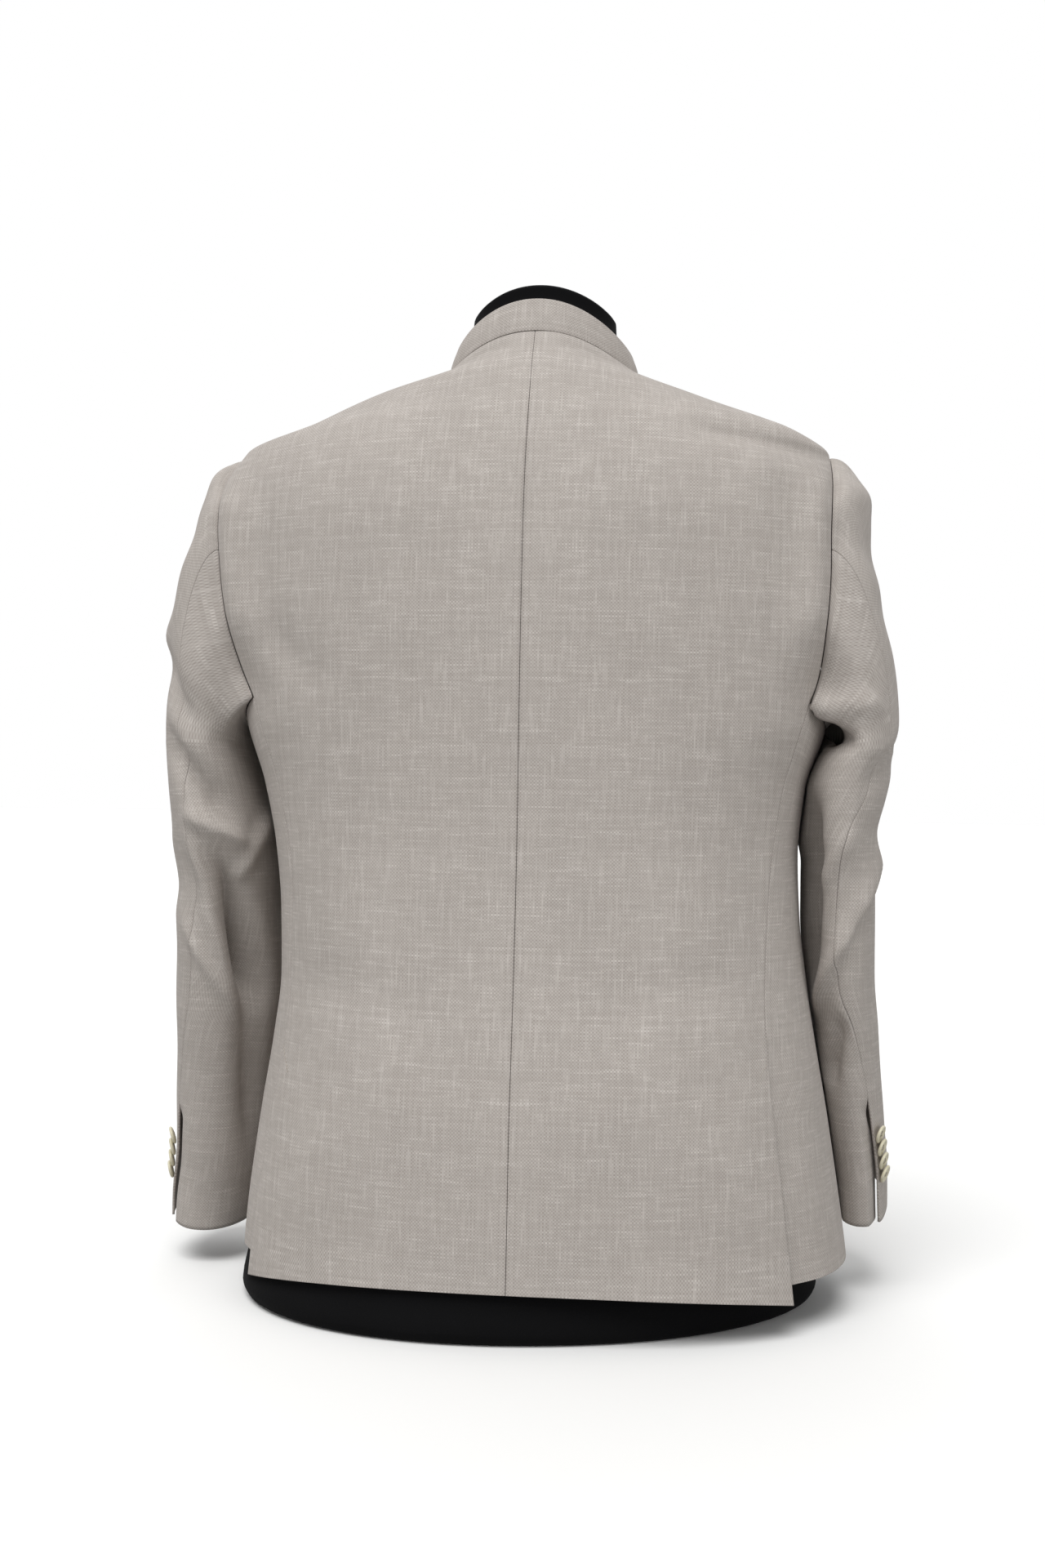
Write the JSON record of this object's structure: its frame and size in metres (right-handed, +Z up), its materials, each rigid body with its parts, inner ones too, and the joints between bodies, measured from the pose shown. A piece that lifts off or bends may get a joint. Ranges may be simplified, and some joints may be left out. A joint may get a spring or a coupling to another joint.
{
  "type": "stand collar blazer on a limbless dress form",
  "caption": "Stand collar blazer with two-piece sleeves, side vents and buttoned cuffs, worn by a plain limbless dress form that stands on its flat underside.",
  "frame": {"origin": "middle of the dress form's flat underside", "axes": "+Z up, the coat's front faces -Y, +X is the wearer's left"},
  "size_m": [0.5979, 0.3417, 0.7885],
  "materials": {
    "suiting": "slubbed plain weave in beige and ivory, matt",
    "form_jersey": "black jersey stretched over the form, matt",
    "buttons": "cast polyester, ivory, half gloss"
  },
  "bodies": {
    "root": {"dress_form": "form_jersey", "back_left": "suiting", "back_right": "suiting", "side_left": "suiting", "side_right": "suiting", "front_left": "suiting", "front_right": "suiting", "sleeve_top_left": "suiting", "sleeve_top_right": "suiting", "sleeve_under_left": "suiting", "sleeve_under_right": "suiting", "collar": "suiting", "cuff_button_left_1": "buttons", "cuff_button_left_2": "buttons", "cuff_button_left_3": "buttons", "cuff_button_left_4": "buttons", "cuff_button_right_1": "buttons", "cuff_button_right_2": "buttons", "cuff_button_right_3": "buttons", "cuff_button_right_4": "buttons", "front_button_1": "buttons", "front_button_2": "buttons", "front_button_3": "buttons", "front_button_4": "buttons", "front_button_5": "buttons"}
  },
  "joints": []
}
